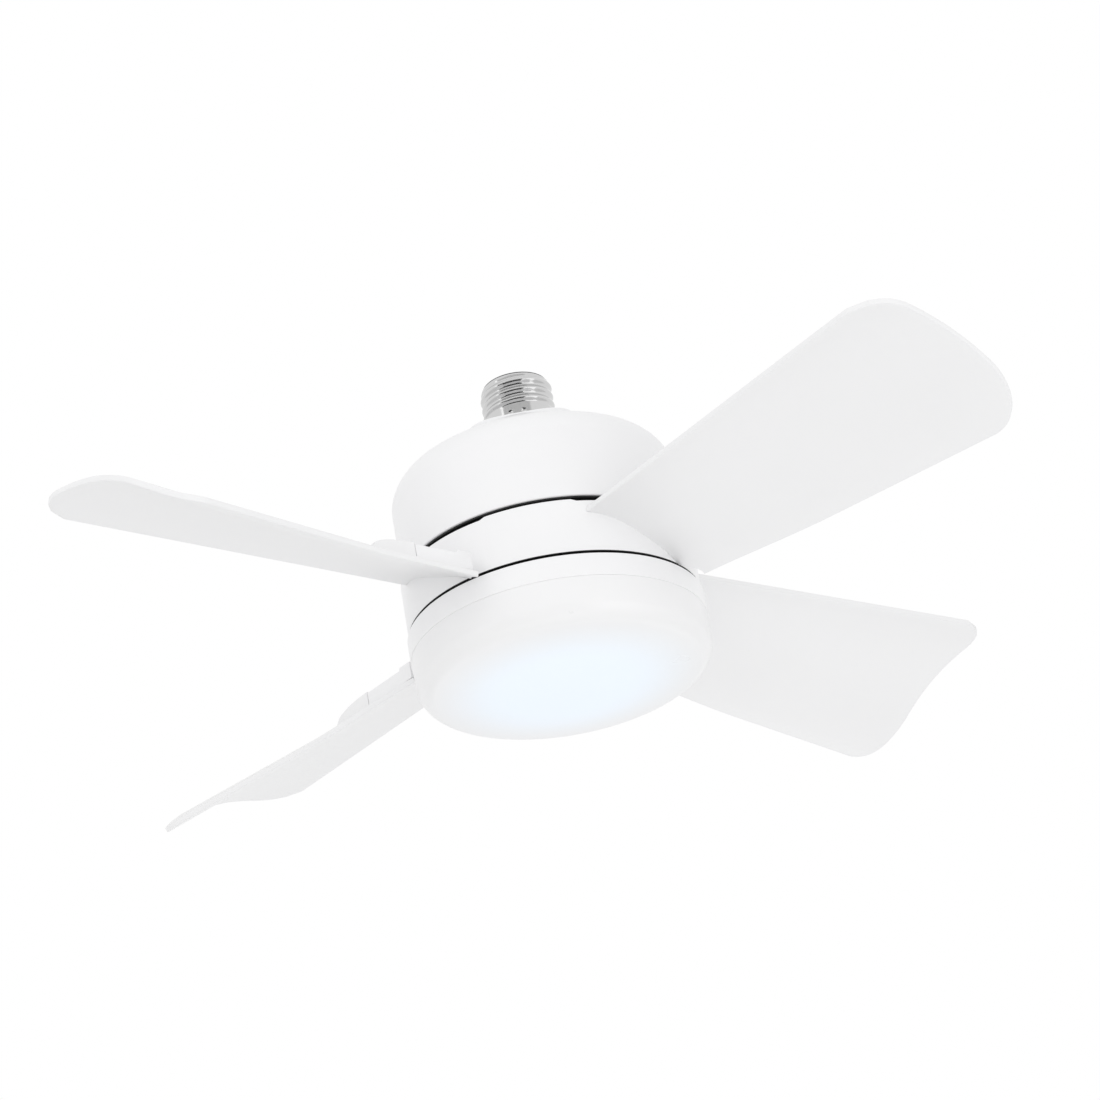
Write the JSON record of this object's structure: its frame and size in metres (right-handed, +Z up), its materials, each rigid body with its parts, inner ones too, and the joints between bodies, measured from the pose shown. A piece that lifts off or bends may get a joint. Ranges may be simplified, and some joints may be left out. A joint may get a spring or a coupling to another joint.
{
  "type": "ceiling fan light",
  "caption": "Screw-in ceiling fan light: Edison screw base, white domed housing, spinning drum with pitched blades and a round opal lamp underneath.",
  "frame": {"origin": "centre of the round boss under the screw base, on the spin axis", "axes": "+Z up along the spin axis, towards the contact of the screw base; the blades lie on the diagonals between X and Y"},
  "size_m": [0.3202, 0.3202, 0.1249],
  "materials": {
    "base_contact": "tinned solder contact",
    "base_glass": "black glazed insulator",
    "bearing_steel": "ground and polished bearing steel",
    "black_plate": "black moulded plastic",
    "capacitor_sleeve": "shrink sleeve",
    "circuit_board": "green solder mask",
    "copper_coil": "enamelled copper wire",
    "cup_steel": "black coated pressed steel",
    "dark_components": "moulded black packages",
    "laminated_steel": "stacked electrical steel sheets",
    "lamp_pan_metal": "pressed sheet",
    "lead_wire": "insulated lead",
    "led_board_white": "white solder mask on aluminium",
    "led_phosphor": "phosphor coated packages",
    "magnet_ferrite": "sintered ferrite",
    "nickel_shell": "bright nickel plate, rolled thread",
    "opal_cover": "opal diffusing plastic",
    "screw_steel": "zinc plated",
    "shaft_steel": "turned steel",
    "white_arm": "satin white moulded plastic",
    "white_blade": "satin white moulded plastic",
    "white_drum": "satin white moulded plastic",
    "white_housing": "satin white moulded plastic",
    "white_lamp_ring": "satin white moulded plastic",
    "white_plastic": "natural nylon"
  },
  "bodies": {
    "fixed": {"base_insulator": "base_glass", "base_leads": "lead_wire", "board_screws": "screw_steel", "bridge_rectifier": "dark_components", "centre_contact": "base_contact", "diffuser": "opal_cover", "driver_board": "circuit_board", "driver_chips": "dark_components", "housing_floor_plate": "black_plate", "housing_screws": "screw_steel", "lamp_leads": "lead_wire", "lamp_nut": "shaft_steel", "lamp_pan": "lamp_pan_metal", "lamp_ring": "white_lamp_ring", "led_board": "led_board_white", "led_chips": "led_phosphor", "lower_bearing_inner_ring": "bearing_steel", "motor_shaft": "shaft_steel", "plug_sockets": "white_plastic", "screw_shell": "nickel_shell", "shaft_nut": "shaft_steel", "smoothing_capacitor": "capacitor_sleeve", "stator_coils": "copper_coil", "stator_core": "laminated_steel", "transformer": "dark_components", "upper_bearing_inner_ring": "bearing_steel", "upper_housing": "white_housing"},
    "rotor": {"blade_1": "white_blade", "blade_2": "white_blade", "blade_3": "white_blade", "blade_4": "white_blade", "blade_arm_1": "white_arm", "blade_arm_2": "white_arm", "blade_arm_3": "white_arm", "blade_arm_4": "white_arm", "blade_screws": "screw_steel", "cup_screws": "screw_steel", "hub_drum": "white_drum", "lower_bearing_outer_ring": "bearing_steel", "rotor_cup": "cup_steel", "rotor_magnets": "magnet_ferrite", "upper_bearing_outer_ring": "bearing_steel"},
    "upper_cage": {"upper_bearing_balls": "bearing_steel", "upper_bearing_cage": "white_plastic"},
    "lower_cage": {"lower_bearing_balls": "bearing_steel", "lower_bearing_cage": "white_plastic"}
  },
  "joints": [
    {"name": "rotor_spin", "type": "hinge", "parent": "fixed", "child": "rotor", "pos_m": [0, 0, -0.0635], "axis": [0, 0, 1], "continuous": true},
    {"name": "upper_cage_spin", "type": "hinge", "parent": "fixed", "child": "upper_cage", "pos_m": [0, 0, -0.0565], "axis": [0, 0, 1], "continuous": true},
    {"name": "lower_cage_spin", "type": "hinge", "parent": "fixed", "child": "lower_cage", "pos_m": [0, 0, -0.0705], "axis": [0, 0, 1], "continuous": true}
  ],
  "couplings": [
    {"joint": "upper_cage_spin", "follows": "rotor_spin", "ratio": 0.5727},
    {"joint": "lower_cage_spin", "follows": "rotor_spin", "ratio": 0.5727}
  ]
}
